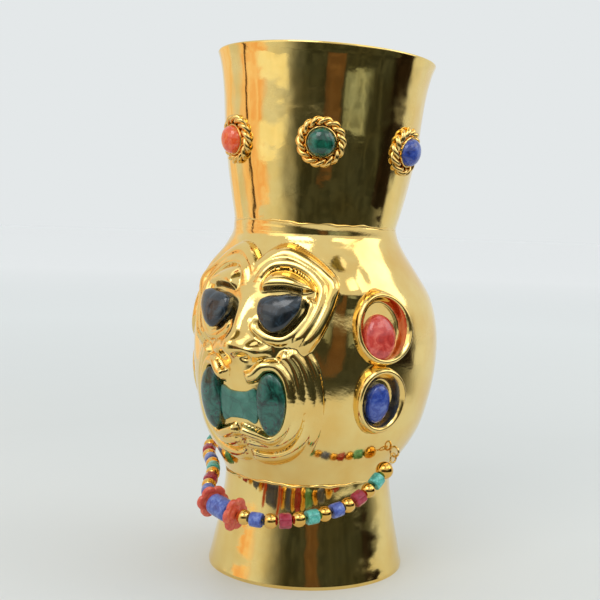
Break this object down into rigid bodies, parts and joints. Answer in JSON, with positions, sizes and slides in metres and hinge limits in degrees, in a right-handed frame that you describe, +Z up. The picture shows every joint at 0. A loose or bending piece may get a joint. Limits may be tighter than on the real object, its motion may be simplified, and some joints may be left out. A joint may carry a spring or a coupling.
{
  "type": "head beaker",
  "caption": "Gold-plated head-shaped beaker: flared cup on a mask face and flared foot, with stone inlays, rope-edged stone settings and a swinging bead necklace.",
  "frame": {"origin": "centre of the base plate's underside, which rests on the table", "axes": "+Z up through foot, head and cup; the face looks along -Y; +X is the figure's own left; the eyelets' line is turned 8 degrees from +X"},
  "size_m": [0.1092, 0.1134, 0.2017],
  "materials": {
    "gold_sheet": "polished",
    "gold_wire": "polished",
    "gold_bead": "polished",
    "eye_stone": "polished",
    "mouth_stone": "polished",
    "red_stone": "polished",
    "blue_stone": "polished",
    "coral": "polished",
    "coral_disc": "satin",
    "green_stone": "polished",
    "blue_bead": "satin",
    "red_bead": "polished",
    "turquoise_bead": "satin"
  },
  "bodies": {
    "vessel": {"base_plate": "gold_sheet", "bezel_cups": "gold_wire", "blue_cabochon_left": "blue_stone", "blue_cabochon_right": "blue_stone", "coral_cabochon_back": "coral", "coral_cabochon_front": "coral", "cup_shell": "gold_sheet", "ear_left": "gold_sheet", "ear_right": "gold_sheet", "ear_stone_lower_left": "blue_stone", "ear_stone_lower_right": "blue_stone", "ear_stone_upper_left": "red_stone", "ear_stone_upper_right": "red_stone", "eye_stone_left": "eye_stone", "eye_stone_right": "eye_stone", "eyelet_left": "gold_wire", "eyelet_right": "gold_wire", "foot_shell": "gold_sheet", "green_cabochon_back_right": "green_stone", "green_cabochon_front_left": "green_stone", "head_shell": "gold_sheet", "mouth_bar": "mouth_stone", "mouth_end_left": "mouth_stone", "mouth_end_right": "mouth_stone", "rope_rings": "gold_wire"},
    "necklace": {"necklace_string": "gold_wire", "jump_ring_left": "gold_wire", "jump_ring_right": "gold_wire"},
    "blue_bead_left_1_body": {"blue_bead_left_1": "blue_bead"},
    "blue_bead_left_2_body": {"blue_bead_left_2": "blue_bead"},
    "blue_bead_right_1_body": {"blue_bead_right_1": "blue_bead"},
    "blue_bead_right_2_body": {"blue_bead_right_2": "blue_bead"},
    "centre_bead_body": {"centre_bead": "blue_bead"},
    "flower_disc_left_body": {"flower_disc_left": "coral_disc"},
    "flower_disc_right_body": {"flower_disc_right": "coral_disc"},
    "gold_bead_left_1_body": {"gold_bead_left_1": "gold_bead"},
    "gold_bead_left_2_body": {"gold_bead_left_2": "gold_bead"},
    "gold_bead_left_3_body": {"gold_bead_left_3": "gold_bead"},
    "gold_bead_left_4_body": {"gold_bead_left_4": "gold_bead"},
    "gold_bead_left_5_body": {"gold_bead_left_5": "gold_bead"},
    "gold_bead_left_6_body": {"gold_bead_left_6": "gold_bead"},
    "gold_bead_left_7_body": {"gold_bead_left_7": "gold_bead"},
    "gold_bead_right_1_body": {"gold_bead_right_1": "gold_bead"},
    "gold_bead_right_2_body": {"gold_bead_right_2": "gold_bead"},
    "gold_bead_right_3_body": {"gold_bead_right_3": "gold_bead"},
    "gold_bead_right_4_body": {"gold_bead_right_4": "gold_bead"},
    "gold_bead_right_5_body": {"gold_bead_right_5": "gold_bead"},
    "gold_bead_right_6_body": {"gold_bead_right_6": "gold_bead"},
    "gold_bead_right_7_body": {"gold_bead_right_7": "gold_bead"},
    "red_bead_left_1_body": {"red_bead_left_1": "red_bead"},
    "red_bead_left_2_body": {"red_bead_left_2": "red_bead"},
    "red_bead_right_1_body": {"red_bead_right_1": "red_bead"},
    "red_bead_right_2_body": {"red_bead_right_2": "red_bead"},
    "turquoise_bead_left_1_body": {"turquoise_bead_left_1": "turquoise_bead"},
    "turquoise_bead_left_2_body": {"turquoise_bead_left_2": "turquoise_bead"},
    "turquoise_bead_right_1_body": {"turquoise_bead_right_1": "turquoise_bead"},
    "turquoise_bead_right_2_body": {"turquoise_bead_right_2": "turquoise_bead"}
  },
  "joints": [
    {"name": "necklace_swing", "type": "hinge", "parent": "vessel", "child": "necklace", "pos_m": [0, 0, 0.0488], "axis": [-0.9903, 0.1392, 0], "range_deg": [-8, 5]},
    {"name": "blue_bead_left_1_spin", "type": "hinge", "parent": "necklace", "child": "blue_bead_left_1_body", "pos_m": [0.01424, -0.05563, 0.03071], "axis": [-0.9772, -0.2107, 0.0248], "continuous": true},
    {"name": "blue_bead_left_2_spin", "type": "hinge", "parent": "necklace", "child": "blue_bead_left_2_body", "pos_m": [0.03408, -0.03381, 0.0329], "axis": [-0.4293, -0.8856, -0.1773], "continuous": true},
    {"name": "blue_bead_right_1_spin", "type": "hinge", "parent": "necklace", "child": "blue_bead_right_1_body", "pos_m": [-0.01413, -0.04675, 0.03456], "axis": [-0.6014, 0.7772, 0.1851], "continuous": true},
    {"name": "blue_bead_right_2_spin", "type": "hinge", "parent": "necklace", "child": "blue_bead_right_2_body", "pos_m": [-0.03173, -0.02232, 0.03972], "axis": [-0.7231, 0.6833, 0.1008], "continuous": true},
    {"name": "centre_bead_spin", "type": "hinge", "parent": "necklace", "child": "centre_bead_body", "pos_m": [-0.00132, -0.05512, 0.0321], "axis": [-0.9552, 0.2651, 0.1314], "continuous": true},
    {"name": "flower_disc_left_spin", "type": "hinge", "parent": "necklace", "child": "flower_disc_left_body", "pos_m": [0.00533, -0.05625, 0.03127], "axis": [-0.9905, 0.0869, 0.1067], "continuous": true},
    {"name": "flower_disc_right_spin", "type": "hinge", "parent": "necklace", "child": "flower_disc_right_body", "pos_m": [-0.00753, -0.05255, 0.03304], "axis": [-0.8712, 0.4688, 0.1455], "continuous": true},
    {"name": "gold_bead_left_1_spin", "type": "hinge", "parent": "necklace", "child": "gold_bead_left_1_body", "pos_m": [0.00918, -0.05632, 0.03093], "axis": [-0.9964, -0.0514, 0.0668], "continuous": true},
    {"name": "gold_bead_left_2_spin", "type": "hinge", "parent": "necklace", "child": "gold_bead_left_2_body", "pos_m": [0.01902, -0.05384, 0.0307], "axis": [-0.8762, -0.4816, -0.0179], "continuous": true},
    {"name": "gold_bead_left_3_spin", "type": "hinge", "parent": "necklace", "child": "gold_bead_left_3_body", "pos_m": [0.02662, -0.0471, 0.03117], "axis": [-0.5942, -0.8015, -0.067], "continuous": true},
    {"name": "gold_bead_left_4_spin", "type": "hinge", "parent": "necklace", "child": "gold_bead_left_4_body", "pos_m": [0.03182, -0.03834, 0.03212], "axis": [-0.4611, -0.8774, -0.1328], "continuous": true},
    {"name": "gold_bead_left_5_spin", "type": "hinge", "parent": "necklace", "child": "gold_bead_left_5_body", "pos_m": [0.03617, -0.02932, 0.03416], "axis": [-0.3849, -0.8686, -0.3119], "continuous": true},
    {"name": "gold_bead_left_6_spin", "type": "hinge", "parent": "necklace", "child": "gold_bead_left_6_body", "pos_m": [0.03962, -0.02067, 0.03837], "axis": [-0.261, -0.8255, -0.5003], "continuous": true},
    {"name": "gold_bead_left_7_spin", "type": "hinge", "parent": "necklace", "child": "gold_bead_left_7_body", "pos_m": [0.04144, -0.01203, 0.04455], "axis": [-0.1072, -0.796, -0.5957], "continuous": true},
    {"name": "gold_bead_right_1_spin", "type": "hinge", "parent": "necklace", "child": "gold_bead_right_1_body", "pos_m": [-0.01069, -0.05042, 0.03365], "axis": [-0.7603, 0.6276, 0.1677], "continuous": true},
    {"name": "gold_bead_right_2_spin", "type": "hinge", "parent": "necklace", "child": "gold_bead_right_2_body", "pos_m": [-0.01706, -0.04268, 0.03554], "axis": [-0.5341, 0.8216, 0.1993], "continuous": true},
    {"name": "gold_bead_right_3_spin", "type": "hinge", "parent": "necklace", "child": "gold_bead_right_3_body", "pos_m": [-0.022, -0.03396, 0.03765], "axis": [-0.5163, 0.8359, 0.1864], "continuous": true},
    {"name": "gold_bead_right_4_spin", "type": "hinge", "parent": "necklace", "child": "gold_bead_right_4_body", "pos_m": [-0.02817, -0.02595, 0.03916], "axis": [-0.6667, 0.7355, 0.1207], "continuous": true},
    {"name": "gold_bead_right_5_spin", "type": "hinge", "parent": "necklace", "child": "gold_bead_right_5_body", "pos_m": [-0.03541, -0.0188, 0.04027], "axis": [-0.6782, 0.7225, 0.1341], "continuous": true},
    {"name": "gold_bead_right_6_spin", "type": "hinge", "parent": "necklace", "child": "gold_bead_right_6_body", "pos_m": [-0.04125, -0.01067, 0.04226], "axis": [-0.4653, 0.8493, 0.2493], "continuous": true},
    {"name": "gold_bead_right_7_spin", "type": "hinge", "parent": "necklace", "child": "gold_bead_right_7_body", "pos_m": [-0.04321, -0.00091, 0.04609], "axis": [0.0605, 0.9209, 0.385], "continuous": true},
    {"name": "red_bead_left_1_spin", "type": "hinge", "parent": "necklace", "child": "red_bead_left_1_body", "pos_m": [0.02316, -0.05085, 0.03088], "axis": [-0.7524, -0.6571, -0.0466], "continuous": true},
    {"name": "red_bead_left_2_spin", "type": "hinge", "parent": "necklace", "child": "red_bead_left_2_body", "pos_m": [0.03801, -0.02495, 0.03608], "axis": [-0.3415, -0.8407, -0.4203], "continuous": true},
    {"name": "red_bead_right_1_spin", "type": "hinge", "parent": "necklace", "child": "red_bead_right_1_body", "pos_m": [-0.01959, -0.03835, 0.0366], "axis": [-0.4508, 0.8665, 0.2142], "continuous": true},
    {"name": "red_bead_right_2_spin", "type": "hinge", "parent": "necklace", "child": "red_bead_right_2_body", "pos_m": [-0.03858, -0.01489, 0.04113], "axis": [-0.5582, 0.8048, 0.2018], "continuous": true},
    {"name": "turquoise_bead_left_1_spin", "type": "hinge", "parent": "necklace", "child": "turquoise_bead_left_1_body", "pos_m": [0.02934, -0.04279, 0.03155], "axis": [-0.5043, -0.8591, -0.0876], "continuous": true},
    {"name": "turquoise_bead_left_2_spin", "type": "hinge", "parent": "necklace", "child": "turquoise_bead_left_2_body", "pos_m": [0.04065, -0.01653, 0.0412], "axis": [-0.1585, -0.7926, -0.5888], "continuous": true},
    {"name": "turquoise_bead_right_1_spin", "type": "hinge", "parent": "necklace", "child": "turquoise_bead_right_1_body", "pos_m": [-0.02489, -0.02983, 0.03849], "axis": [-0.6138, 0.7768, 0.1411], "continuous": true},
    {"name": "turquoise_bead_right_2_spin", "type": "hinge", "parent": "necklace", "child": "turquoise_bead_right_2_body", "pos_m": [-0.04286, -0.00611, 0.04388], "axis": [-0.154, 0.9134, 0.3768], "continuous": true}
  ]
}
